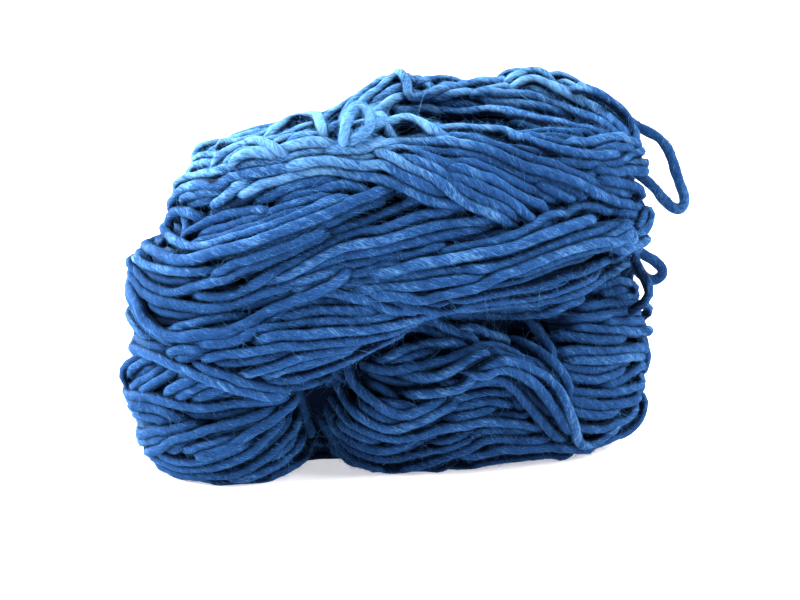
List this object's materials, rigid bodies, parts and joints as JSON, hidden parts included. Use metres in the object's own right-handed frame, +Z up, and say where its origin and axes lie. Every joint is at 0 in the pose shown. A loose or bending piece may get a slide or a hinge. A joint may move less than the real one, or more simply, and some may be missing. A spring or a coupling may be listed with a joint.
{
  "type": "skein of yarn",
  "caption": "Thick soft single-ply wool yarn wound in a loose skein, lying on its side, for knitting and craft scenes.",
  "frame": {"origin": "on the surface it lies on, under the middle of the outline of the skein with its loose loops", "axes": "+X along the skein towards its end with the loose loops, -Y its front, +Z up"},
  "size_m": [0.189, 0.1002, 0.1245],
  "materials": {
    "blue_wool": "matte, softly fuzzy wool"
  },
  "bodies": {
    "root": {"skein": "blue_wool", "loop_right": "blue_wool", "loop_low": "blue_wool", "curl_top": "blue_wool"}
  },
  "joints": []
}
